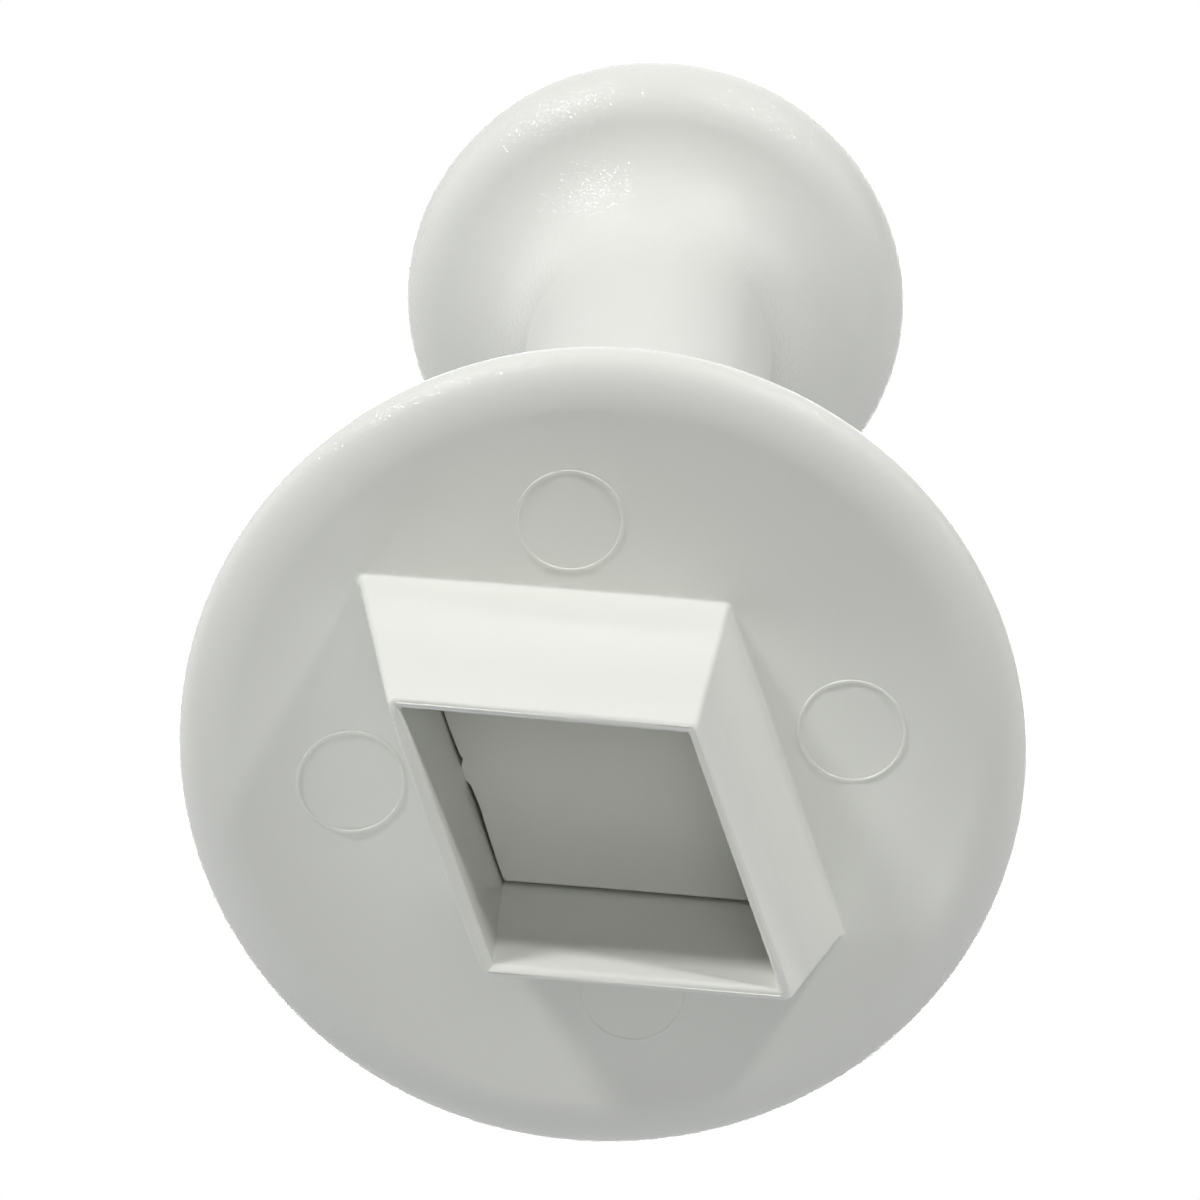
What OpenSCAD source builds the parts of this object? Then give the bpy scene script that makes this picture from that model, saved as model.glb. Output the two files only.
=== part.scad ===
// Plunger cutter for dough and sugar paste: a rhombus cutting wall under a round flange,
// with a sprung plate inside it that pushes the cut shape out when the knob is pressed.
// It stands on its cutting edge. The origin is the centre of that edge, +Z runs up to the knob,
// and the long diagonal of the rhombus lies along X. Millimetres.

/* [Cutting wall] */
// Width across flats inside the wall
cut_flats = 12.4; // [11:0.1:14]
// Acute corner of the rhombus, in degrees
cut_angle = 67.4; // [60:0.1:80]
// Depth of the wall below the flange
cut_depth = 12.6; // [9:0.1:16]
// Width of the flat cutting edge
edge_land = 0.5; // [0.3:0.05:0.9]
// Height that the edge stands straight before the taper
edge_straight = 0.05; // [0.02:0.01:0.2]
// Thickness of the wall where it meets the flange
root_wall = 1.95; // [1.4:0.05:2.4]
// Radius on the wall's outside corners at the cutting edge
edge_round = 0.4; // [0.2:0.05:0.8]
// Radius on those corners at the flange
root_round = 0.75; // [0.4:0.05:1.2]

/* [Flange] */
// Diameter of the flange
flange_d = 40; // [36:0.5:46]
// Thickness of the flange
flange_t = 2.5; // [2.2:0.1:4]
// Width of the flange's rounded edge, which turns through its whole thickness
flange_round = 2.5; // [1.5:0.1:3.5]
// Diameter of each pin mark
mark_d = 5; // [3:0.5:6]
// Diameter of the circle that the pin marks lie on
mark_circle_d = 23.8; // [22:0.1:26]
// Width of the raised line round a pin mark
mark_line = 0.12; // [0.08:0.02:0.3]
// Height of that line
mark_h = 0.06; // [0.04:0.01:0.15]

/* [Guide tube] */
// Bore of the tube, which holds the spring
guide_bore = 7; // [6.6:0.1:7.6]
// Wall of the tube
guide_wall = 1.2; // [1:0.05:1.6]
// Height of the tube above the flange
guide_h = 30; // [26:0.5:34]
// Thickness of the floor under the spring
floor_t = 2.5; // [2:0.1:3]
// Height of the stop collar at the foot of the tube
collar_h = 1.6; // [1:0.1:2.5]
// How far the collar stands out past the neck
collar_lip = 0.9; // [0.5:0.1:1.5]
// Fillet between the collar and the flange
collar_fillet = 0.8; // [0.4:0.1:1]

/* [Ejector] */
// Thickness of the plate
plate_t = 1.9; // [1.4:0.1:2.6]
// Diameter of the stem
stem_d = 4; // [3.6:0.1:4.4]
// How far short of the cutting edge the plate stops
edge_short = 0.25; // [0:0.05:1]

/* [Spring] */
// Diameter of the wire
wire_d = 0.7; // [0.5:0.05:0.8]
// Number of turns
spring_turns = 13; // [9:1:15]
// Height that each end turn climbs
end_pitch = 1.2; // [1.15:0.05:1.5]

/* [Knob] */
// Height of the knob's widest ring above the flange's lower face
knob_rise = 63.9; // [60:0.1:68]
// Diameter of the knob
knob_d = 25; // [23:0.5:28]
// Radius of the knob's rim
rim_round = 2.8; // [2.4:0.1:3.4]
// Slope of the underside where the rim turns into the flare, in degrees
flare_slope = 15; // [8:1:22]
// Wall of the neck
neck_wall = 1.3; // [1:0.05:1.6]
// Wall of the flare
flare_wall = 2; // [1.6:0.1:2.4]
// Thickness of the web between the neck and the hollow above it
web_t = 2; // [1.5:0.1:3]
// How far the spring's upper seat dips into the guide tube
seat_dip = 2; // [1:0.1:4]

/* [Cap] */
// Thickness of the cap at its edge
cap_t = 1.8; // [1.4:0.1:2.4]
// Rise of the cap's dome
cap_crown = 1.2; // [0.6:0.1:2]
// Width of the ledge under the cap
ledge_w = 1.2; // [0.8:0.1:1.8]
// Depth of the ring that locates the cap
plug_h = 2.4; // [1.5:0.1:3]
// Wall of that ring
plug_wall = 1.2; // [0.8:0.1:1.6]

/* [Fits] */
// Gap all round between the plate and the wall
plate_gap = 0.15; // [0.1:0.01:0.3]
// Radial clearance of the neck on the guide tube and the stem in the flange
run_gap = 0.1; // [0.04:0.01:0.1]
// Radial clearance of the pressed joints
press_gap = 0.02; // [0.01:0.01:0.04]
// Gap between the plate and the flange at rest
rest_gap = 0.05; // [0.02:0.01:0.1]
// Gap between the neck and the collar at full press
stop_gap = 0.3; // [0.1:0.05:0.6]
// Gap under the ring that locates the cap
plug_gap = 0.3; // [0.1:0.05:0.5]
// Radial gap round the spring's upper seat
seat_gap = 0.3; // [0.2:0.05:0.4]
// Chamfer that breaks the moulded edges
edge_break = 0.3; // [0.1:0.05:0.5]

/* [Hidden] */
$fn = 96;
// Overlap that fuses shapes of one moulding
fuse = 0.5;
// Steps of an arc in a turned outline
arc_steps = 16;
// Sides of the wire and rings of wire in a turn
wire_sides = 6;
turn_rings = 8;
// Corners of the rhombus, counted round the axis
corners = 4;
plastic = [0.9, 0.905, 0.885];
steel = [0.66, 0.67, 0.69];

// The flange and what stands on its back
flange_top = cut_depth + flange_t;
floor_z = cut_depth + floor_t;
guide_d = guide_bore + 2 * guide_wall;
guide_top = flange_top + guide_h;
collar_top = flange_top + collar_h;

// The plunger: the plate rests against the flange and stops near the cutting edge
plate_top = cut_depth - rest_gap;
plate_face = plate_top - plate_t;
travel = plate_face - edge_short;
neck_bore = guide_d + 2 * run_gap;
neck_r = neck_bore / 2 + neck_wall;
neck_z = collar_top + stop_gap + travel;
collar_r = neck_r + collar_lip;

// The knob's outline: a round rim that turns into a hollow flare, tangent to the neck
ring_z = cut_depth + knob_rise;
rim_c = knob_d / 2 - rim_round;
knob_top = ring_z + rim_round;
flare_r = (rim_c + rim_round * sin(flare_slope) - neck_r) / (1 - sin(flare_slope));
flare_c = neck_r + flare_r;
flare_z = ring_z - (rim_round + flare_r) * cos(flare_slope);
web_z = flare_z - web_t;
seat_z = guide_top - seat_dip;
seat_d = guide_bore - 2 * seat_gap;
stem_top = web_z;

// The cap's seat in the knob
ledge_z = knob_top - cap_t;
mouth_r = rim_c - ledge_w;
plug_z = ledge_z - plug_h;
cap_r = rim_c - press_gap;
crown_foot = cap_r - edge_break;
crown_r = (crown_foot * crown_foot + cap_crown * cap_crown) / (2 * cap_crown);

// The spring lies midway between the stem and the tube, with a closer turn at each end
coil_r = (stem_d + guide_bore) / 4;
coil_foot = floor_z + wire_d / 2 + rest_gap;
coil_rise = seat_z - wire_d / 2 - rest_gap - coil_foot;
mid_pitch = (coil_rise - 2 * end_pitch) / (spring_turns - 2);
coil_rings = spring_turns * turn_rings;

// Points of an oval about c with half widths r.x and r.y, from angle a0 to a1
function oval(c, r, a0, a1) =
    [for (i = [0:arc_steps])
        let (a = a0 + (a1 - a0) * i / arc_steps)
        c + [r.x * cos(a), r.y * sin(a)]];

// Points of an arc about c, from angle a0 to a1
function arc(c, r, a0, a1) = oval(c, [r, r], a0, a1);

// Corners of a rhombus of the given inside radius, starting on +X
function rhombus(inradius) =
    let (x = inradius / sin(cut_angle / 2), y = inradius / cos(cut_angle / 2))
    [[x, 0], [0, y], [-x, 0], [0, -y]];

// Height of the spring's centre line after a number of turns
function coil_z(turn) =
    coil_foot + end_pitch * min(turn, 1)
    + mid_pitch * max(0, min(turn, spring_turns - 1) - 1)
    + end_pitch * max(0, turn - spring_turns + 1);

// A point of the spring's centre line
function coil_point(i) =
    let (turn = i / turn_rings)
    [coil_r * cos(360 * turn), coil_r * sin(360 * turn), coil_z(turn)];

// One ring of the wire, square to the coil
function coil_ring(i) =
    let (a = 360 * i / turn_rings, c = coil_point(i))
    [for (s = [0:wire_sides - 1])
        let (b = 360 * s / wire_sides)
        c + wire_d / 2 * (cos(b) * [cos(a), sin(a), 0] + sin(b) * [0, 0, 1])];

// Least gap from the wire to its next turn
coil_gap = min([for (i = [0:coil_rings - turn_rings]) for (k = [turn_rings - 1:turn_rings + 1])
    if (i + k <= coil_rings) norm(coil_point(i) - coil_point(i + k))]) - wire_d;
echo(coil_gap = coil_gap);

// Corner posts that the outside of the wall is stretched over
module wall_posts(inradius, r, z, h) {
    for (p = rhombus(inradius - r))
        translate([p.x, p.y, z])
            cylinder(r = r, h = h, $fn = 32);
}

// The wall: tapered outside, straight inside
module cutting_wall() {
    difference() {
        hull() {
            wall_posts(cut_flats / 2 + edge_land, edge_round, 0, edge_straight);
            wall_posts(cut_flats / 2 + root_wall, root_round, cut_depth, fuse);
        }
        translate([0, 0, -fuse])
            linear_extrude(cut_depth + fuse)
                polygon(rhombus(cut_flats / 2));
    }
}

// Raised line that a moulding pin leaves on the flange's face
module pin_mark() {
    translate([mark_circle_d / 2, 0, cut_depth - mark_h])
        difference() {
            cylinder(d = mark_d + mark_line, h = mark_h + fuse);
            translate([0, 0, -fuse])
                cylinder(d = mark_d - mark_line, h = mark_h + fuse);
        }
}

// Flange, collar and guide tube, turned as one outline
module flange_and_guide() {
    edge_c = [flange_d / 2 - flange_round, cut_depth + flange_t / 2];
    fillet_c = [collar_r + collar_fillet, flange_top + collar_fillet];
    rotate_extrude()
        polygon(concat(
            [[0, cut_depth]],
            oval(edge_c, [flange_round, flange_t / 2], -90, 90),
            arc(fillet_c, collar_fillet, 270, 180),
            [[collar_r, collar_top - edge_break], [collar_r - edge_break, collar_top],
             [guide_d / 2, collar_top],
             [guide_d / 2, guide_top - edge_break], [guide_d / 2 - edge_break, guide_top],
             [0, guide_top]]));
}

module cutter_body() {
    color(plastic)
        difference() {
            union() {
                flange_and_guide();
                cutting_wall();
                for (i = [0:corners - 1])
                    rotate(360 / corners * (i + 0.5))
                        pin_mark();
            }
            translate([0, 0, floor_z])
                cylinder(d = guide_bore, h = guide_top - floor_z + fuse);
            cylinder(d = stem_d + 2 * run_gap, h = floor_z + fuse);
        }
}

module ejector() {
    color(plastic)
        union() {
            translate([0, 0, plate_face])
                linear_extrude(plate_t)
                    polygon(rhombus(cut_flats / 2 - plate_gap));
            translate([0, 0, plate_face + plate_t / 2])
                cylinder(d = stem_d, h = stem_top - plate_face - plate_t / 2);
        }
}

module return_spring() {
    last = coil_rings * wire_sides;
    color(steel)
        polyhedron(
            points = [for (i = [0:coil_rings]) each coil_ring(i)],
            faces = concat(
                [for (s = [1:wire_sides - 2]) [0, s, s + 1]],
                [for (i = [0:coil_rings - 1]) for (s = [0:wire_sides - 1])
                    let (a = i * wire_sides + s, b = i * wire_sides + (s + 1) % wire_sides)
                    each [[a, a + wire_sides, b], [b, a + wire_sides, b + wire_sides]]],
                [for (s = [1:wire_sides - 2]) [last, last + s + 1, last + s]]));
}

// Outside of the knob: neck, flare and rim
module knob_solid() {
    rotate_extrude()
        polygon(concat(
            [[0, neck_z], [neck_r - edge_break, neck_z], [neck_r, neck_z + edge_break]],
            arc([flare_c, flare_z], flare_r, 180, 90 + flare_slope),
            arc([rim_c, ring_z], rim_round, flare_slope - 90, 90),
            [[0, knob_top]]));
}

// Hollow of the knob above the web, which the cap closes
module knob_hollow() {
    hollow_r = flare_r + flare_wall;
    reach = acos((flare_c - mouth_r) / hollow_r);
    rotate_extrude()
        polygon(concat(
            [[0, flare_z]],
            arc([flare_c, flare_z], hollow_r, 180, 180 - reach),
            [[mouth_r, ledge_z], [rim_c, ledge_z], [rim_c, knob_top + fuse], [0, knob_top + fuse]]));
    translate([0, 0, plug_z - plug_gap])
        cylinder(r = mouth_r, h = plug_h + plug_gap + fuse);
}

module knob() {
    color(plastic)
        difference() {
            knob_solid();
            knob_hollow();
            difference() {
                translate([0, 0, neck_z - fuse])
                    cylinder(d = neck_bore, h = web_z - neck_z + fuse);
                translate([0, 0, seat_z])
                    cylinder(d = seat_d, h = web_z - seat_z + fuse);
            }
            translate([0, 0, neck_z - fuse])
                cylinder(d = stem_d + 2 * press_gap, h = stem_top - neck_z + fuse);
        }
}

module knob_cap() {
    plug_r = mouth_r - press_gap;
    crown_edge = asin(crown_foot / crown_r);
    color(plastic)
        rotate_extrude()
            polygon(concat(
                [[0, ledge_z], [plug_r - plug_wall, ledge_z], [plug_r - plug_wall, plug_z],
                 [plug_r - edge_break, plug_z], [plug_r, plug_z + edge_break], [plug_r, ledge_z],
                 [cap_r, ledge_z], [cap_r, knob_top - edge_break]],
                arc([0, knob_top + cap_crown - crown_r], crown_r, 90 - crown_edge, 90)));
}

cutter_body();
ejector();
return_spring();
knob();
knob_cap();
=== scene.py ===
import math

import bpy
from mathutils import Matrix, Vector, noise

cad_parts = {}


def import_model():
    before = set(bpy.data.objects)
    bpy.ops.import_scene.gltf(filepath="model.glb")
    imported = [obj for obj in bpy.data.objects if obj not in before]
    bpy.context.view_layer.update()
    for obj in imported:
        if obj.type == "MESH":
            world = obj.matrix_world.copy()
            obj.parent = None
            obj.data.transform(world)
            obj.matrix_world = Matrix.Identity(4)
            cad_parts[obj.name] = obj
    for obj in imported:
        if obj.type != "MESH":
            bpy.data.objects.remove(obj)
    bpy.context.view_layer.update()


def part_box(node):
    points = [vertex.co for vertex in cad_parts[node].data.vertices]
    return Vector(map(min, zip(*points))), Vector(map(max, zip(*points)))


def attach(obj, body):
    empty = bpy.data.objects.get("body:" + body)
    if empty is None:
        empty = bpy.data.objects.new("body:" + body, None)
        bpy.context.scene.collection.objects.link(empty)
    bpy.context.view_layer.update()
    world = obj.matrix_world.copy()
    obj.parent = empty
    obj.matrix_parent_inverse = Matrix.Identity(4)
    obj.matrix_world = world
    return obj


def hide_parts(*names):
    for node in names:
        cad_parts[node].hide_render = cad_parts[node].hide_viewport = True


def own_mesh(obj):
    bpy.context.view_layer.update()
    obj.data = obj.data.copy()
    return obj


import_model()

# Plunger cutter of white moulded plastic: a rhombus cutting wall under a round flange, a sprung
# plate that pushes the cut shape out, and a trumpet-shaped knob. It stands on its cutting edge,
# with +Z up to the knob. Lengths are in millimetres and become metres in the meshes, and angles
# are in degrees. The studio is in metres.

MM = 0.001

# Cutting wall
CUT_FLATS = 12.4
CUT_ANGLE = 67.4
EDGE_LAND = 0.5
ROOT_WALL = 1.95
ACUTE_ROUND = 0.32
OBTUSE_ROUND = 0.36
INNER_ROUND = 0.1
LIP_OUTER = 0.2
LIP_INNER = 0.28
LIP_LEAN = 0.5
LEAN_SIDE = 280.0
TRIM_OUT = 0.12
ROOT_FILLET = 0.16

# Flange and guide tube
FLANGE_T = 2.5
FLANGE_ROUND = 2.5
FACE_DISH = 0.6
MARK_D = 5.0
MARK_CIRCLE_D = 23.8
MARK_LINE = 0.16
MARK_H = 0.09
MARK_TURNS = (45, 135, 225, 315)
FAINT_MARK = 45
GUIDE_BORE = 7.0
GUIDE_WALL = 1.2
FLOOR_T = 2.5
COLLAR_H = 1.6
COLLAR_LIP = 0.9
COLLAR_FILLET = 0.8

# Ejector
PLATE_T = 1.9
PLATE_REST = 0.05
PLATE_GAP = 0.15
PLATE_SOFT = 0.07
BURR_CLEAR = 0.004
STEM_D = 4.0
RUN_GAP = 0.1
PRESS_GAP = 0.02

# Spring
WIRE_D = 0.7
SPRING_TURNS = 13
END_PITCH = 1.2
SPRING_REST = 0.05

# Knob and cap
RIM_ROUND = 2.8
RIM_END = 87
FLARE_SLOPE = 15.0
NECK_WALL = 1.3
FLARE_WALL = 2.0
WEB_T = 2.0
SEAT_DIP = 2.0
SEAT_GAP = 0.3
CAP_T = 1.8
LEDGE_W = 1.2
PLUG_WALL = 1.2
PLUG_GAP = 0.3
SOFT_EDGE = 0.3
MOUTH_SOFT = 0.12
CAP_SOFT = 0.1
CAP_EDGE_SOFT = 0.15

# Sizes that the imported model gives, and what follows from them
_, body_high = (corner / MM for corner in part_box("cutter_body"))
ejector_low, ejector_high = (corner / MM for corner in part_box("ejector"))
knob_low, knob_high = (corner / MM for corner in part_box("knob"))
cap_low, cap_high = (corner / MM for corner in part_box("knob_cap"))

flange_r = body_high.x
guide_top = body_high.z
plate_face = ejector_low.z
plate_top = plate_face + PLATE_T
stem_top = ejector_high.z
face_z = plate_top + PLATE_REST
flange_top = face_z + FLANGE_T
floor_z = face_z + FLOOR_T
guide_r = GUIDE_BORE / 2 + GUIDE_WALL
collar_top = flange_top + COLLAR_H
neck_bore_r = guide_r + RUN_GAP
neck_r = neck_bore_r + NECK_WALL
neck_z = knob_low.z
collar_r = neck_r + COLLAR_LIP
knob_r = knob_high.x
knob_top = knob_high.z
ring_z = knob_top - RIM_ROUND
rim_c = knob_r - RIM_ROUND
slope_sin = math.sin(math.radians(FLARE_SLOPE))
slope_cos = math.cos(math.radians(FLARE_SLOPE))
flare_r = (rim_c + RIM_ROUND * slope_sin - neck_r) / (1 - slope_sin)
flare_c = neck_r + flare_r
flare_z = ring_z - (RIM_ROUND + flare_r) * slope_cos
web_z = flare_z - WEB_T
seat_z = guide_top - SEAT_DIP
seat_r = GUIDE_BORE / 2 - SEAT_GAP
ledge_z = knob_top - CAP_T
mouth_r = rim_c - LEDGE_W
plug_z = cap_low.z
cap_r = cap_high.x
cap_top = cap_high.z

# Mesh detail
TURN_SEGMENTS = 240
MARK_SEGMENTS = 144
STEM_SEGMENTS = 96
COIL_STEPS = 48
WIRE_SIDES = 16
ARC_STEPS = 24
SOFT_STEPS = 5
FLAT_STEPS = 120
CORNER_STEPS = 10
HOLD = 0.12
SHARP_ANGLE = 34
EMBED = 0.3
OVERLAP = 0.01
ON_AXIS = 1e-6

# Uneven edges. Sides of the rhombus are counted from the corner on +X.
SEED = 7
TRIMMED_SIDE = 1
TRIM_ROUGHER = 1.6
LIP_COARSE = 0.012
LIP_FINE = 0.016
FLASH_SWELL = 0.05
FLASH_GRIT = 0.03
GRIT_FROM = 0.2
PLATE_UNEVEN = 0.012
MARK_WAVES = 2
MARK_LOSS = 0.35
MARK_UNEVEN = 0.6
# Side, place along it, width and height of what breaks the plate's straight edge
PLATE_BURRS = [
    (1, 0.44, 0.03, 0.4), (1, 0.29, 0.05, -0.04), (1, 0.497, 0.010, -0.07), (1, 0.65, 0.12, 0.07),
    (1, 0.05, 0.12, 0.06), (0, 0.5, 0.6, -0.05)]


# Outlines in the half plane of a turned part

def oval(cr, cz, half_r, half_z, start, end, steps=ARC_STEPS):
    angles = [math.radians(start + (end - start) * i / steps) for i in range(steps + 1)]
    return [(cr + half_r * math.cos(a), cz + half_z * math.sin(a)) for a in angles]


def arc(cr, cz, radius, start, end, steps=ARC_STEPS):
    return oval(cr, cz, radius, radius, start, end, steps)


def softened(points):
    """Points of a path whose corners (r, z, radius) are rounded by that radius."""
    path = []
    for i, (r, z, radius) in enumerate(points):
        here = Vector((r, z))
        if radius == 0 or i in (0, len(points) - 1):
            path.append((r, z))
            continue
        back = (Vector(points[i - 1][:2]) - here).normalized()
        ahead = (Vector(points[i + 1][:2]) - here).normalized()
        half = back.angle(ahead) / 2
        centre = here + (back + ahead).normalized() * radius / math.sin(half)
        start = here + back * radius / math.tan(half) - centre
        end = here + ahead * radius / math.tan(half) - centre
        turn = start.angle_signed(end)
        for k in range(SOFT_STEPS + 1):
            p = centre + Matrix.Rotation(-turn * k / SOFT_STEPS, 2) @ start
            path.append((p.x, p.y))
    return path


def held(path, closed=False):
    """The path with points added close to the ends of its long stretches, to keep them flat."""
    result = []
    count = len(path) if closed else len(path) - 1
    for i in range(count):
        a, b = Vector(path[i]), Vector(path[(i + 1) % len(path)])
        result.append(tuple(a))
        if (b - a).length > 4 * HOLD:
            step = (b - a).normalized() * HOLD
            result += [tuple(a + step), tuple(b - step)]
    if not closed:
        result.append(path[-1])
    return result


# Meshes

def add_mesh(name, points, faces):
    mesh = bpy.data.meshes.new(name)
    mesh.from_pydata([Vector(p) * MM for p in points], [], faces)
    mesh.validate()
    piece = bpy.data.objects.new(name, mesh)
    bpy.context.scene.collection.objects.link(piece)
    return piece


def turned(name, path, closed=False, segments=TURN_SEGMENTS):
    """A surface turned about Z. An open path starts and ends on the axis."""
    points, faces, rows = [], [], []
    for r, z in path:
        start = len(points)
        if r < ON_AXIS:
            points.append((0, 0, z))
            rows.append([start] * segments)
        else:
            for s in range(segments):
                a = 2 * math.pi * s / segments
                points.append((r * math.cos(a), r * math.sin(a), z))
            rows.append(list(range(start, start + segments)))
    pairs = list(zip(rows, rows[1:])) + ([(rows[-1], rows[0])] if closed else [])
    for low, high in pairs:
        for s in range(segments):
            t = (s + 1) % segments
            ring = [low[s], low[t], high[t], high[s]]
            face = [v for i, v in enumerate(ring) if v not in ring[:i]]
            if len(face) > 2:
                faces.append(face)
    return add_mesh(name, points, faces)


def lofted(name, rings, closed):
    """A skin over rings of equal length: joined end to end, or capped at both ends."""
    size = len(rings[0])
    points = [p for ring in rings for p in ring]
    faces = []
    last = len(rings) if closed else len(rings) - 1
    for k in range(last):
        low, high = k * size, (k + 1) % len(rings) * size
        for s in range(size):
            t = (s + 1) % size
            faces.append([low + s, low + t, high + t, high + s])
    if not closed:
        faces.append(list(range(size))[::-1])
        faces.append(list(range((len(rings) - 1) * size, len(rings) * size)))
    return add_mesh(name, points, faces)


def combined(base, operation, *others):
    """Fuses the other pieces into the base, or cuts them out of it, exactly."""
    for other in others:
        step = base.modifiers.new("combine", "BOOLEAN")
        step.operation = operation
        step.solver = "EXACT"
        step.object = other
    graph = bpy.context.evaluated_depsgraph_get()
    mesh = bpy.data.meshes.new_from_object(base.evaluated_get(graph))
    base.modifiers.clear()
    base.data = mesh
    mesh.name = base.name
    for other in others:
        bpy.data.objects.remove(other)
    return base


def finished(piece, node, body, material):
    """Smooths the piece, gives it its material and puts it in the place of its node."""
    piece.data.shade_smooth()
    piece.data.set_sharp_from_angle(angle=math.radians(SHARP_ANGLE))
    normals = piece.modifiers.new("normals", "WEIGHTED_NORMAL")
    normals.keep_sharp = True
    piece.data.materials.clear()
    piece.data.materials.append(material)
    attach(piece, body)
    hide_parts(node)
    return piece


# Rhombus rings, from the corner on +X

FLAT_NORMAL = 90 - CUT_ANGLE / 2


def rhombus_corners(inradius):
    x = inradius / math.sin(math.radians(CUT_ANGLE / 2))
    y = inradius / math.cos(math.radians(CUT_ANGLE / 2))
    return [Vector((x, 0)), Vector((0, y)), Vector((-x, 0)), Vector((0, -y))]


def rhombus_ring(inradius, acute, obtuse, z, wander=None):
    """Points round a rhombus with rounded corners. wander(side, along) shifts a flat outwards."""
    normals = [FLAT_NORMAL, 180 - FLAT_NORMAL, 180 + FLAT_NORMAL, 360 - FLAT_NORMAL]
    rounds = [acute, obtuse, acute, obtuse]
    centres = [rhombus_corners(inradius - rounds[side])[side] for side in range(4)]
    ring = []
    for side in range(4):
        before, after = normals[side - 1] - (360 if side == 0 else 0), normals[side]
        for k in range(CORNER_STEPS + 1):
            a = math.radians(before + (after - before) * k / CORNER_STEPS)
            p = centres[side] + rounds[side] * Vector((math.cos(a), math.sin(a)))
            ring.append((p.x, p.y, z))
        a = math.radians(after)
        out = Vector((math.cos(a), math.sin(a)))
        start = centres[side] + rounds[side] * out
        end = centres[(side + 1) % 4] + rounds[(side + 1) % 4] * out
        for k in range(1, FLAT_STEPS):
            along = k / FLAT_STEPS
            p = start.lerp(end, along)
            if wander:
                p = p + out * wander(side, along)
            ring.append((p.x, p.y, z))
    return ring


# Sub-parts

def face_dip(x, y):
    """How far the flange's face, which is slightly dished, comes down towards its edge."""
    return FACE_DISH * (x * x + y * y) / (flange_r - FLANGE_ROUND) ** 2


def ripple(side, along, apart, waves, layer=0):
    """Noise between about -1 and 1 along a side of the rhombus. apart keeps the sides different."""
    return noise.noise(Vector((side * apart, along * waves, SEED + layer)))


def lip_wander(side, along):
    """The cutting edge is a little uneven, most on the side that was trimmed."""
    coarse = ripple(side, along, apart=5.3, waves=30)
    fine = ripple(side, along, apart=3.1, waves=110, layer=1)
    return (LIP_COARSE * coarse + LIP_FINE * fine) * (TRIM_ROUGHER if side == TRIMMED_SIDE else 1)


def rim_wander(side, along):
    """The lip's outer edge, which stands out a little on the side that was trimmed."""
    out = TRIM_OUT * (1 - (2 * along - 1) ** 4) if side == TRIMMED_SIDE else 0
    return lip_wander(side, along) + out


def root_wander(side, along):
    """Traces of flash where the wall meets the flange."""
    swell = ripple(side, along, apart=7.7, waves=9, layer=2)
    grit = ripple(side, along, apart=2.9, waves=60, layer=3)
    return FLASH_SWELL * max(0, swell) + FLASH_GRIT * max(0, grit - GRIT_FROM)


def leaned(ring, middle, lean):
    """The lip's ring, leaned so that its land faces one side. The lowest edge stays at the bottom."""
    a = math.radians(LEAN_SIDE)
    rise = EDGE_LAND / 2
    return [(x, y, max(0, z + lean * ((x - mx) * math.cos(a) + (y - my) * math.sin(a) + rise)))
            for (x, y, z), (mx, my, _) in zip(ring, middle)]


def quarter(k):
    """Sine and cosine of a quarter turn's step k."""
    a = math.pi / 2 * k / SOFT_STEPS
    return math.sin(a), math.cos(a)


def cutting_wall():
    """The wall: straight inside, tapered outside, with a narrow rounded lip at the cutting edge."""
    inside = CUT_FLATS / 2
    root = face_z - ROOT_FILLET
    taper = (ROOT_WALL - EDGE_LAND) / face_z
    middle = rhombus_ring(inside + EDGE_LAND / 2, INNER_ROUND, OBTUSE_ROUND / 2, 0)
    rings = []

    def inner_ring(out, z, wander=None):
        ring = rhombus_ring(inside + out, INNER_ROUND, INNER_ROUND, z, wander)
        rings.append(leaned(ring, middle, LIP_LEAN) if wander else ring)

    def outer_ring(out, z, wander=None, lean=0):
        ring = rhombus_ring(inside + out, ACUTE_ROUND, OBTUSE_ROUND, z, wander)
        rings.append(leaned(ring, middle, lean))

    for z in (face_z + EMBED, face_z - HOLD, LIP_INNER + 3 * HOLD):
        inner_ring(0, z)
    for k in range(SOFT_STEPS + 1):
        sin, cos = quarter(k)
        inner_ring(LIP_INNER * (1 - cos), LIP_INNER * (1 - sin), lip_wander)
    for k in range(SOFT_STEPS + 1):
        sin, cos = quarter(k)
        outer_ring(EDGE_LAND - LIP_OUTER * (1 - sin), LIP_OUTER * (1 - cos), rim_wander, LIP_LEAN)
    for z in (LIP_OUTER + 3 * HOLD, face_z / 3, face_z * 2 / 3, root - FACE_DISH - HOLD):
        outer_ring(EDGE_LAND + taper * z, z)
    for k in range(SOFT_STEPS + 1):
        sin, cos = quarter(k)
        out = EDGE_LAND + taper * root + ROOT_FILLET * (1 - cos)
        ring = rhombus_ring(inside + out, ACUTE_ROUND, OBTUSE_ROUND, root + (ROOT_FILLET + OVERLAP) * sin,
                            root_wander if k else None)
        rings.append([(x, y, z - face_dip(x, y)) for x, y, z in ring])
    outer_ring(ROOT_WALL, face_z + EMBED)
    return lofted("cutting_wall", rings, closed=True)


def cavity_floor():
    """What is cut from the dished face inside the wall, where the flange is flat above the plate."""
    room = CUT_FLATS / 2 - OVERLAP
    rings = [rhombus_ring(room, INNER_ROUND, INNER_ROUND, z) for z in (face_z - FACE_DISH, face_z)]
    return lofted("cavity_floor", rings, closed=False)


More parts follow.
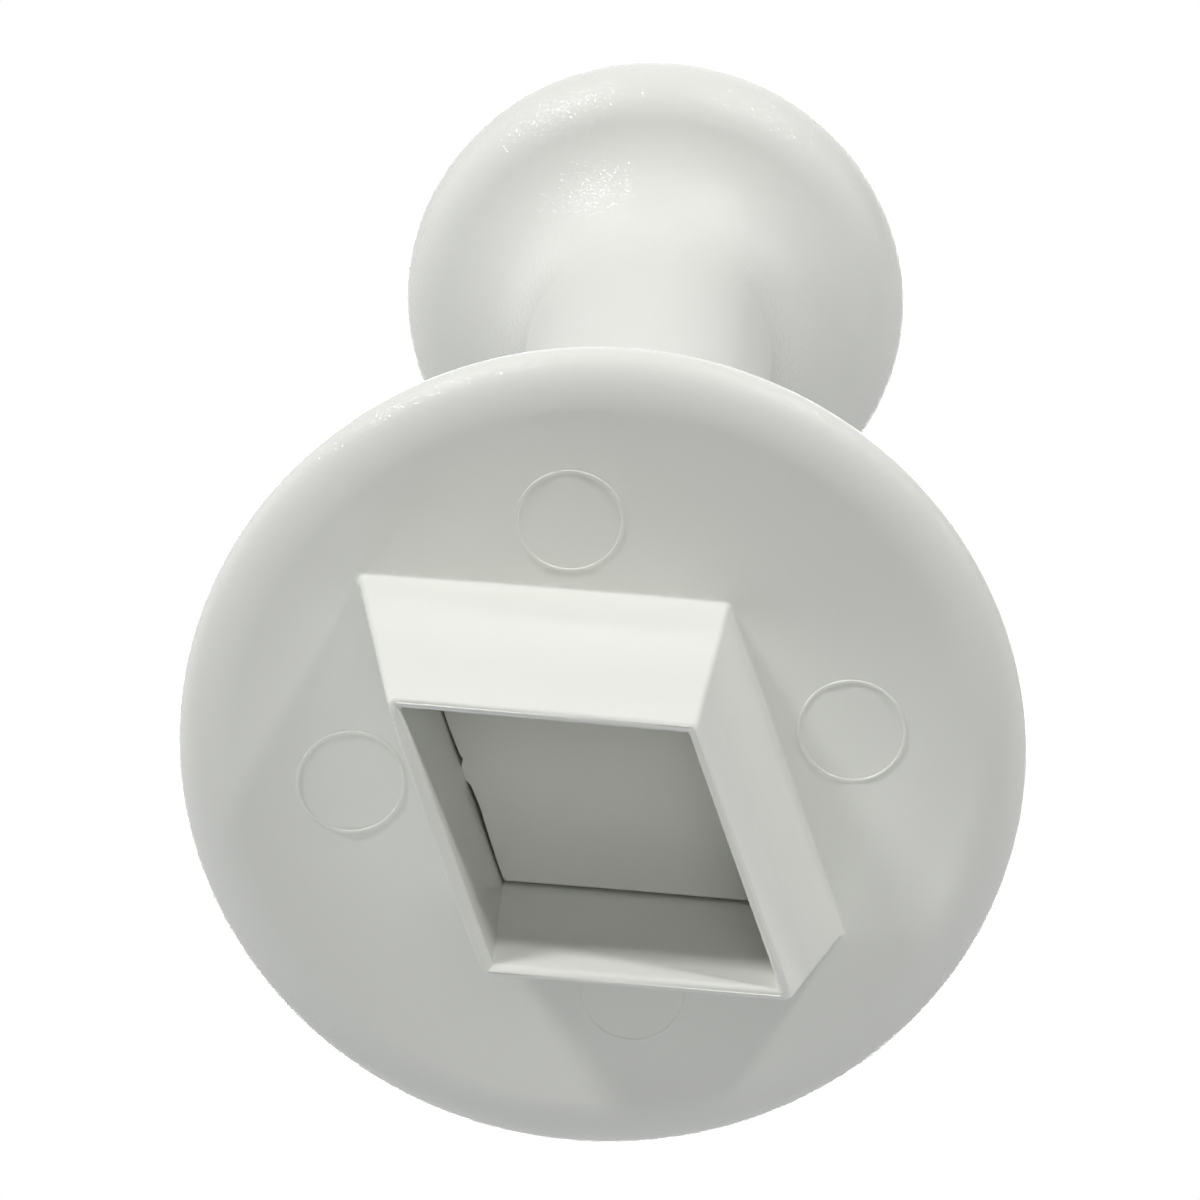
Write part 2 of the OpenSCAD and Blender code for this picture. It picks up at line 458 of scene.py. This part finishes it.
def pin_mark(turn):
    """Thin raised line that a moulding pin leaves on the flange's face, not quite even round the pin."""
    outer, inner = (MARK_D + MARK_LINE) / 2, (MARK_D - MARK_LINE) / 2
    foot = face_z - (MARK_H / 2 if turn == FAINT_MARK else MARK_H)
    path = softened([
        (inner, face_z + EMBED, 0), (inner, foot, MARK_LINE / 3),
        (outer, foot, MARK_LINE / 3), (outer, face_z + EMBED, 0)])
    mark = turned("pin_mark", path, closed=True, segments=MARK_SEGMENTS)
    for vertex in mark.data.vertices:
        rise = face_z - vertex.co.z / MM
        if rise > 0:
            a = math.atan2(vertex.co.y, vertex.co.x)
            uneven = noise.noise(Vector((MARK_WAVES * math.cos(a), MARK_WAVES * math.sin(a), turn)))
            vertex.co.z += MM * rise * (MARK_LOSS - MARK_UNEVEN * uneven)
    a = math.radians(turn)
    place = Vector((math.cos(a), math.sin(a), 0)) * MARK_CIRCLE_D / 2 * MM
    mark.data.transform(Matrix.Translation(place))
    for vertex in mark.data.vertices:
        vertex.co.z -= MM * face_dip(vertex.co.x / MM, vertex.co.y / MM)
    return mark


def flange_and_guide():
    """Flange, stop collar and guide tube."""
    stem_r = STEM_D / 2 + RUN_GAP
    bore_r = GUIDE_BORE / 2
    half = (FLANGE_T + FACE_DISH) / 2
    edge = oval(flange_r - FLANGE_ROUND, flange_top - half, FLANGE_ROUND, half, -90, 90, 2 * ARC_STEPS)
    foot = arc(collar_r + COLLAR_FILLET, flange_top + COLLAR_FILLET, COLLAR_FILLET, 270, 180,
               ARC_STEPS // 2)
    top = softened([
        (*foot[-1], 0), (collar_r, collar_top, SOFT_EDGE), (guide_r, collar_top, 0),
        (guide_r, guide_top, SOFT_EDGE), (bore_r, guide_top, SOFT_EDGE),
        (bore_r, floor_z, SOFT_EDGE), (stem_r, floor_z, SOFT_EDGE / 2), (stem_r, face_z, 0)])
    reach = flange_r - FLANGE_ROUND - stem_r
    rings = [stem_r + reach * k / ARC_STEPS for k in range(1, ARC_STEPS)]
    face = [(r, face_z - face_dip(r, 0)) for r in rings]
    outline = held(edge + foot + top[1:] + face, closed=True)
    return turned("cutter_body", outline, closed=True)


def build_cutter_body(plastic):
    body = flange_and_guide()
    marks = [pin_mark(turn) for turn in MARK_TURNS]
    combined(body, "UNION", cutting_wall(), *marks)
    combined(body, "DIFFERENCE", cavity_floor())
    return finished(body, "cutter_body", "cutter", plastic)


def plate_wander(side, along):
    """The plate's edge isn't quite straight: burrs and notches on one side, a wider gap on another."""
    shift = PLATE_UNEVEN * ripple(side, along, apart=9.1, waves=14)
    for burr_side, place, width, height in PLATE_BURRS:
        if burr_side == side:
            shift += height * math.exp(-((along - place) / width) ** 2)
    return shift


def build_ejector(plastic):
    """Ejector plate and its stem."""
    inside = CUT_FLATS / 2 - PLATE_GAP
    stations = []
    for k in range(SOFT_STEPS + 1):
        sin, cos = quarter(k)
        stations.append((inside - PLATE_SOFT * (1 - sin), plate_face + PLATE_SOFT * (1 - cos)))
    for k in range(SOFT_STEPS + 1):
        sin, cos = quarter(k)
        stations.append((inside - PLATE_SOFT * (1 - cos), plate_top - PLATE_SOFT * (1 - sin)))
    rings = []
    for r, z in stations:
        reach = CUT_FLATS / 2 - BURR_CLEAR - r
        rings.append(rhombus_ring(r, INNER_ROUND, INNER_ROUND, z,
                                  lambda side, along: min(plate_wander(side, along), reach)))
    plate = lofted("ejector", rings, closed=False)
    stem_r = STEM_D / 2
    stem = turned("stem", held(softened([
        (0, plate_top - PLATE_T / 2, 0), (stem_r, plate_top - PLATE_T / 2, 0),
        (stem_r, stem_top, SOFT_EDGE), (0, stem_top, 0)])), segments=STEM_SEGMENTS)
    combined(plate, "UNION", stem)
    return finished(plate, "ejector", "plunger", plastic)


def coil_z(turn):
    """Height of the middle of the wire after so many turns."""
    foot = floor_z + WIRE_D / 2 + SPRING_REST
    rise = seat_z - WIRE_D / 2 - SPRING_REST - foot
    middle = (rise - 2 * END_PITCH) / (SPRING_TURNS - 2)
    ends = END_PITCH * (min(turn, 1) + max(0, turn - SPRING_TURNS + 1))
    return foot + ends + middle * max(0, min(turn, SPRING_TURNS - 1) - 1)


def build_spring(steel):
    """Compression spring round the stem, with a closer turn at each end."""
    radius = (STEM_D + GUIDE_BORE) / 4
    rings = []
    for i in range(SPRING_TURNS * COIL_STEPS + 1):
        turn = i / COIL_STEPS
        a = 2 * math.pi * turn
        out = Vector((math.cos(a), math.sin(a), 0))
        centre = out * radius + Vector((0, 0, coil_z(turn)))
        ring = []
        for s in range(WIRE_SIDES):
            b = 2 * math.pi * s / WIRE_SIDES
            ring.append(centre + (out * math.cos(b) + Vector((0, 0, math.sin(b)))) * WIRE_D / 2)
        rings.append(ring)
    spring = lofted("return_spring", rings, closed=False)
    finished(spring, "return_spring", "cutter", steel)
    spring.modifiers.clear()
    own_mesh(spring)
    return spring


def build_knob(plastic):
    """Knob: neck that slides on the guide tube, flare, rounded rim, and the hollow under the cap."""
    hollow_r = flare_r + FLARE_WALL
    reach = math.degrees(math.acos((flare_c - mouth_r) / hollow_r))
    bore_r = STEM_D / 2 + PRESS_GAP
    below = softened([
        (0, web_z, 0), (bore_r, web_z, 0), (bore_r, seat_z, 0), (seat_r, seat_z, SOFT_EDGE / 2),
        (seat_r, web_z, SOFT_EDGE), (neck_bore_r, web_z, SOFT_EDGE), (neck_bore_r, neck_z, SOFT_EDGE),
        (neck_r, neck_z, SOFT_EDGE), (neck_r, flare_z, 0)])
    outside = (arc(flare_c, flare_z, flare_r, 180, 90 + FLARE_SLOPE)[1:]
               + arc(rim_c, ring_z, RIM_ROUND, FLARE_SLOPE - 90, RIM_END, 2 * ARC_STEPS)[1:])
    mouth = softened([
        (*outside[-1], 0), (rim_c, knob_top, MOUTH_SOFT), (rim_c, ledge_z, 0),
        (mouth_r, ledge_z, SOFT_EDGE), (mouth_r, plug_z - PLUG_GAP, 0)])
    inside = arc(flare_c, flare_z, hollow_r, 180 - reach, 180) + [(0, flare_z)]
    inside = [p for p in inside if p[1] < plug_z - PLUG_GAP]
    knob = turned("knob", held(below + outside + mouth[1:] + inside))
    return finished(knob, "knob", "plunger", plastic)


def build_cap(plastic):
    """Domed cap pressed into the knob's mouth."""
    plug_r = mouth_r - PRESS_GAP
    rise = cap_top - knob_top
    foot = cap_r - SOFT_EDGE
    dome_r = (foot * foot + rise * rise) / (2 * rise)
    edge = math.degrees(math.asin(foot / dome_r))
    below = softened([
        (0, ledge_z, 0), (plug_r - PLUG_WALL, ledge_z, SOFT_EDGE), (plug_r - PLUG_WALL, plug_z, CAP_SOFT),
        (plug_r, plug_z, SOFT_EDGE), (plug_r, ledge_z, 0), (cap_r, ledge_z, CAP_SOFT),
        (cap_r, knob_top - SOFT_EDGE, CAP_EDGE_SOFT), (foot, knob_top, 0)])
    dome = arc(0, cap_top - dome_r, dome_r, 90 - edge, 90)
    dome[-1] = (0, cap_top)
    cap = turned("knob_cap", held(below + dome[1:]))
    return finished(cap, "knob_cap", "plunger", plastic)


# Materials

PLASTIC = (0.85, 0.857, 0.812)
PLASTIC_SHADE = (0.83, 0.838, 0.792)
PLASTIC_IOR = 1.5
PLASTIC_SPECULAR = 0.2
TONE_SCALE = 90
MATT_SCALE = 900
MATT = (0.46, 0.56)
GRAIN_SIZE = 0.23
GRAIN_DEPTH = 0.08
FACE_GRAIN = 0.1
NECK_GRAIN = 0.5
COAT = 0.6
NECK_COAT = 0.12
COAT_ROUGHNESS = 0.12
EDGE_FADE = 1.0
TOP_FADE = 0.4
NECK_FADE = 1.0
FLARE_FADE = 3.0
WIRE_COLOUR = (0.58, 0.58, 0.59)
WIRE_SCALE = 1500
WIRE_MATT = (0.22, 0.4)
DRAWN_SCALE = 4000
DRAWN_DEPTH = 0.02
DRAWN_STRENGTH = 0.2
NOISE_LOW = 0.3
NOISE_HIGH = 0.7


def new_material(name):
    material = bpy.data.materials.new(name)
    material.use_nodes = True
    tree = material.node_tree
    return material, tree, tree.nodes["Principled BSDF"]


def noise_node(tree, scale, detail, roughness=0.5):
    place = tree.nodes.get("place") or tree.nodes.new("ShaderNodeTexCoord")
    place.name = "place"
    node = tree.nodes.new("ShaderNodeTexNoise")
    node.inputs["Scale"].default_value = scale
    node.inputs["Detail"].default_value = detail
    node.inputs["Roughness"].default_value = roughness
    tree.links.new(place.outputs["Object"], node.inputs["Vector"])
    return node


def ranged(tree, source, low, high):
    """Spreads noise from low to high."""
    node = tree.nodes.new("ShaderNodeMapRange")
    node.inputs["From Min"].default_value = NOISE_LOW
    node.inputs["From Max"].default_value = NOISE_HIGH
    node.inputs["To Min"].default_value = low
    node.inputs["To Max"].default_value = high
    tree.links.new(source, node.inputs["Value"])
    return node.outputs["Result"]


def smoothed(tree, source, start, end, low, high):
    """Goes smoothly from low to high while the source goes from start to end, in millimetres."""
    node = tree.nodes.new("ShaderNodeMapRange")
    node.interpolation_type = "SMOOTHSTEP"
    node.inputs["From Min"].default_value = start * MM
    node.inputs["From Max"].default_value = end * MM
    node.inputs["To Min"].default_value = low
    node.inputs["To Max"].default_value = high
    tree.links.new(source, node.inputs["Value"])
    return node.outputs["Result"]


def outer_grain(tree):
    """Strength of the cutter's grain: full on the flange's rounded edge and top, faint on its face."""
    place = tree.nodes["place"].outputs["Object"]
    flat = tree.nodes.new("ShaderNodeVectorMath")
    flat.operation = "MULTIPLY"
    flat.inputs[1].default_value = (1, 1, 0)
    tree.links.new(place, flat.inputs[0])
    radius = tree.nodes.new("ShaderNodeVectorMath")
    radius.operation = "LENGTH"
    tree.links.new(flat.outputs["Vector"], radius.inputs[0])
    height = tree.nodes.new("ShaderNodeSeparateXYZ")
    tree.links.new(place, height.inputs["Vector"])
    inner = flange_r - FLANGE_ROUND
    edge = smoothed(tree, radius.outputs["Value"], inner - EDGE_FADE, inner + EDGE_FADE, FACE_GRAIN, 1)
    top = smoothed(tree, height.outputs["Z"], flange_top - TOP_FADE, flange_top, 0, 1)
    most = tree.nodes.new("ShaderNodeMath")
    most.operation = "MAXIMUM"
    tree.links.new(edge, most.inputs[0])
    tree.links.new(top, most.inputs[1])
    return most.outputs["Value"]


def cutter_skin(tree, bump, shader):
    """The cutter is glossy all over, with a grain that is strongest on its edge and top."""
    tree.links.new(outer_grain(tree), bump.inputs["Strength"])
    shader.inputs["Coat Weight"].default_value = COAT


def plate_skin(tree, bump, shader):
    """The ejector is glossy, with a faint grain."""
    bump.inputs["Strength"].default_value = FACE_GRAIN
    shader.inputs["Coat Weight"].default_value = COAT


def knob_skin(tree, bump, shader):
    """The knob is glossy and grained on flare, rim and cap, and nearly matt on its neck, which rubs."""
    height = tree.nodes.new("ShaderNodeSeparateXYZ")
    tree.links.new(tree.nodes["place"].outputs["Object"], height.inputs["Vector"])
    start, end = flare_z - NECK_FADE, flare_z + FLARE_FADE
    for target, neck, full in ((bump.inputs["Strength"], NECK_GRAIN, 1),
                               (shader.inputs["Coat Weight"], NECK_COAT, COAT)):
        tree.links.new(smoothed(tree, height.outputs["Z"], start, end, neck, full), target)


def plastic(name, skin):
    """White moulded plastic: an even, matt white under a glossy skin with a spark-eroded grain."""
    material, tree, shader = new_material(name)
    tone = tree.nodes.new("ShaderNodeMix")
    tone.data_type = "RGBA"
    tone.inputs["A"].default_value = (*PLASTIC, 1)
    tone.inputs["B"].default_value = (*PLASTIC_SHADE, 1)
    tree.links.new(noise_node(tree, TONE_SCALE, detail=3).outputs["Fac"], tone.inputs["Factor"])
    tree.links.new(tone.outputs["Result"], shader.inputs["Base Color"])
    matt = ranged(tree, noise_node(tree, MATT_SCALE, detail=3).outputs["Fac"], *MATT)
    tree.links.new(matt, shader.inputs["Roughness"])
    shader.inputs["IOR"].default_value = PLASTIC_IOR
    shader.inputs["Specular IOR Level"].default_value = PLASTIC_SPECULAR
    shader.inputs["Coat Roughness"].default_value = COAT_ROUGHNESS
    shader.inputs["Coat IOR"].default_value = PLASTIC_IOR
    bump = tree.nodes.new("ShaderNodeBump")
    bump.inputs["Distance"].default_value = GRAIN_DEPTH * MM
    grain = noise_node(tree, 1 / (GRAIN_SIZE * MM), detail=1, roughness=0.6)
    tree.links.new(grain.outputs["Fac"], bump.inputs["Height"])
    skin(tree, bump, shader)
    tree.links.new(bump.outputs["Normal"], shader.inputs["Coat Normal"])
    return material


def steel_wire(name):
    """Drawn spring wire."""
    material, tree, shader = new_material(name)
    shader.inputs["Base Color"].default_value = (*WIRE_COLOUR, 1)
    shader.inputs["Metallic"].default_value = 1
    matt = ranged(tree, noise_node(tree, WIRE_SCALE, detail=4).outputs["Fac"], *WIRE_MATT)
    tree.links.new(matt, shader.inputs["Roughness"])
    bump = tree.nodes.new("ShaderNodeBump")
    bump.inputs["Strength"].default_value = DRAWN_STRENGTH
    bump.inputs["Distance"].default_value = DRAWN_DEPTH * MM
    tree.links.new(noise_node(tree, DRAWN_SCALE, detail=3).outputs["Fac"], bump.inputs["Height"])
    tree.links.new(bump.outputs["Normal"], shader.inputs["Normal"])
    return material


# Studio, in metres

FLOOR_SIZE = 4.0
FLOOR_DROP = 0.0002
FLOOR_WHITE = (0.85, 0.85, 0.85)
FLOOR_ROUGHNESS = 0.8
FLOOR_FADE = (0.1, 0.4)
FLOOR_GLOW = 0.3
AMBIENT = 0.02
WHITE = (1.0, 1.0, 1.0)
COOL = (0.94, 0.96, 1.0)
LAMP_DISTANCE = 0.9
LAMP_AIM = 0.03
# Name, azimuth, elevation, width, height, level and colour of each softbox
SOFTBOXES = [
    ("key_left", -70, -12, 0.14, 0.11, 0.48, WHITE),
    ("key_right", -8, -14, 0.09, 0.09, 0.28, WHITE),
    ("high_left", -66, 13, 0.10, 0.10, 0.07, WHITE),
    ("high_right", -2, 13, 0.10, 0.10, 0.07, WHITE),
    ("side_right", 33, -3, 0.36, 0.26, 0.22, WHITE),
    ("side_left", -116, 14, 0.80, 0.80, 0.27, WHITE),
    ("low_left", -162, -24, 0.60, 0.40, 0.15, COOL),
    ("low_middle", 141, -30, 0.80, 0.40, 0.26, COOL),
    ("low_right", 87, -21, 0.60, 0.40, 0.07, COOL),
    ("front_low", 130, -70, 0.50, 0.50, 0.08, WHITE),
    ("front", -31, -69, 0.40, 0.40, 0.14, WHITE),
    ("overhead", 20, 75, 0.80, 0.80, 0.12, WHITE),
    ("back_high", 149, 66, 0.60, 0.60, 0.50, WHITE)]


def floor():
    """White floor with the object's shadow. From below it is clear and lets light through."""
    s = FLOOR_SIZE / 2
    mesh = bpy.data.meshes.new("floor")
    mesh.from_pydata([(-s, -s, 0), (s, -s, 0), (s, s, 0), (-s, s, 0)], [], [(0, 1, 2, 3)])
    plane = bpy.data.objects.new("floor", mesh)
    plane.location.z = -FLOOR_DROP
    bpy.context.scene.collection.objects.link(plane)
    material, tree, shader = new_material("floor_white")
    shader.inputs["Base Color"].default_value = (*FLOOR_WHITE, 1)
    shader.inputs["Roughness"].default_value = FLOOR_ROUGHNESS
    shader.inputs["Emission Color"].default_value = (*WHITE, 1)
    shader.inputs["Emission Strength"].default_value = FLOOR_GLOW
    far = tree.nodes.new("ShaderNodeEmission")
    geometry = tree.nodes.new("ShaderNodeNewGeometry")
    length = tree.nodes.new("ShaderNodeVectorMath")
    length.operation = "LENGTH"
    tree.links.new(geometry.outputs["Position"], length.inputs[0])
    fade = tree.nodes.new("ShaderNodeMapRange")
    fade.interpolation_type = "SMOOTHSTEP"
    fade.inputs["From Min"].default_value, fade.inputs["From Max"].default_value = FLOOR_FADE
    tree.links.new(length.outputs["Value"], fade.inputs["Value"])
    surface = tree.nodes.new("ShaderNodeMixShader")
    tree.links.new(fade.outputs["Result"], surface.inputs["Fac"])
    tree.links.new(shader.outputs["BSDF"], surface.inputs[1])
    tree.links.new(far.outputs["Emission"], surface.inputs[2])
    path = tree.nodes.new("ShaderNodeLightPath")
    seen = tree.nodes.new("ShaderNodeMath")
    seen.operation = "MAXIMUM"
    tree.links.new(path.outputs["Is Camera Ray"], seen.inputs[0])
    tree.links.new(path.outputs["Is Glossy Ray"], seen.inputs[1])
    above = tree.nodes.new("ShaderNodeMath")
    above.operation = "SUBTRACT"
    above.use_clamp = True
    tree.links.new(seen.outputs["Value"], above.inputs[0])
    tree.links.new(geometry.outputs["Backfacing"], above.inputs[1])
    clear = tree.nodes.new("ShaderNodeBsdfTransparent")
    shown = tree.nodes.new("ShaderNodeMixShader")
    tree.links.new(above.outputs["Value"], shown.inputs["Fac"])
    tree.links.new(clear.outputs["BSDF"], shown.inputs[1])
    tree.links.new(surface.outputs["Shader"], shown.inputs[2])
    tree.links.new(shown.outputs["Shader"], tree.nodes["Material Output"].inputs["Surface"])
    plane.data.materials.append(material)


def world():
    """White to the eye and in reflections, and a faint level light on the object."""
    place = bpy.data.worlds.new("studio")
    bpy.context.scene.world = place
    place.use_nodes = True
    tree = place.node_tree
    lit = tree.nodes["Background"]
    lit.inputs["Color"].default_value = (*WHITE, 1)
    lit.inputs["Strength"].default_value = AMBIENT
    white = tree.nodes.new("ShaderNodeBackground")
    white.inputs["Color"].default_value = (*WHITE, 1)
    white.inputs["Strength"].default_value = 1
    path = tree.nodes.new("ShaderNodeLightPath")
    rays = path.outputs["Is Camera Ray"]
    for name in ("Is Glossy Ray", "Is Transmission Ray"):
        either = tree.nodes.new("ShaderNodeMath")
        either.operation = "MAXIMUM"
        tree.links.new(rays, either.inputs[0])
        tree.links.new(path.outputs[name], either.inputs[1])
        rays = either.outputs["Value"]
    mix = tree.nodes.new("ShaderNodeMixShader")
    tree.links.new(rays, mix.inputs["Fac"])
    tree.links.new(lit.outputs["Background"], mix.inputs[1])
    tree.links.new(white.outputs["Background"], mix.inputs[2])
    tree.links.new(mix.outputs["Shader"], tree.nodes["World Output"].inputs["Surface"])


def softbox(name, azimuth, elevation, width, height, level, colour):
    """Area lamp aimed at the object. Level 1 lights a white surface facing it to white."""
    a, e = math.radians(azimuth), math.radians(elevation)
    toward = Vector((math.sin(a) * math.cos(e), -math.cos(a) * math.cos(e), math.sin(e)))
    lamp = bpy.data.lights.new(name, "AREA")
    lamp.shape = "RECTANGLE"
    lamp.size, lamp.size_y = width, height
    lamp.energy = level * math.pi ** 2 * LAMP_DISTANCE ** 2
    lamp.color = colour
    holder = bpy.data.objects.new(name, lamp)
    holder.location = Vector((0, 0, LAMP_AIM)) + toward * LAMP_DISTANCE
    holder.rotation_mode = "QUATERNION"
    holder.rotation_quaternion = (-toward).to_track_quat("-Z", "Y")
    bpy.context.scene.collection.objects.link(holder)


# Camera: the photograph's view, from below

CAMERA_AZIMUTH = -31.42
CAMERA_ELEVATION = -69.44
CAMERA_ROLL = 6.89
CAMERA_AIM = (-0.81, 0.49, 33.12)
CAMERA_DISTANCE = 961.4
CAMERA_LENS = 600.0
SENSOR_WIDTH = 36.0
CLIP_NEAR = 10.0
CLIP_FAR = 20000.0


def camera():
    a, e = math.radians(CAMERA_AZIMUTH), math.radians(CAMERA_ELEVATION)
    back = Vector((math.sin(a) * math.cos(e), -math.cos(a) * math.cos(e), math.sin(e)))
    level_right = Vector((0, 0, 1)).cross(back).normalized()
    level_up = back.cross(level_right)
    c, s = math.cos(math.radians(CAMERA_ROLL)), math.sin(math.radians(CAMERA_ROLL))
    right, up = c * level_right + s * level_up, c * level_up - s * level_right
    data = bpy.data.cameras.new("camera")
    data.sensor_width = SENSOR_WIDTH
    data.lens = CAMERA_LENS
    data.clip_start = CLIP_NEAR * MM
    data.clip_end = CLIP_FAR * MM
    eye = bpy.data.objects.new("camera", data)
    turn = Matrix((right, up, back)).transposed().to_4x4()
    eye.matrix_world = Matrix.Translation((Vector(CAMERA_AIM) + back * CAMERA_DISTANCE) * MM) @ turn
    bpy.context.scene.collection.objects.link(eye)
    bpy.context.scene.camera = eye


def main():
    bpy.context.scene.view_settings.view_transform = "Standard"
    camera()
    world()
    floor()
    for lamp in SOFTBOXES:
        softbox(*lamp)
    build_cutter_body(plastic("white_plastic_cutter", cutter_skin))
    build_ejector(plastic("white_plastic_smooth", plate_skin))
    build_spring(steel_wire("spring_wire"))
    grained = plastic("white_plastic_grained", knob_skin)
    build_knob(grained)
    build_cap(grained)


main()
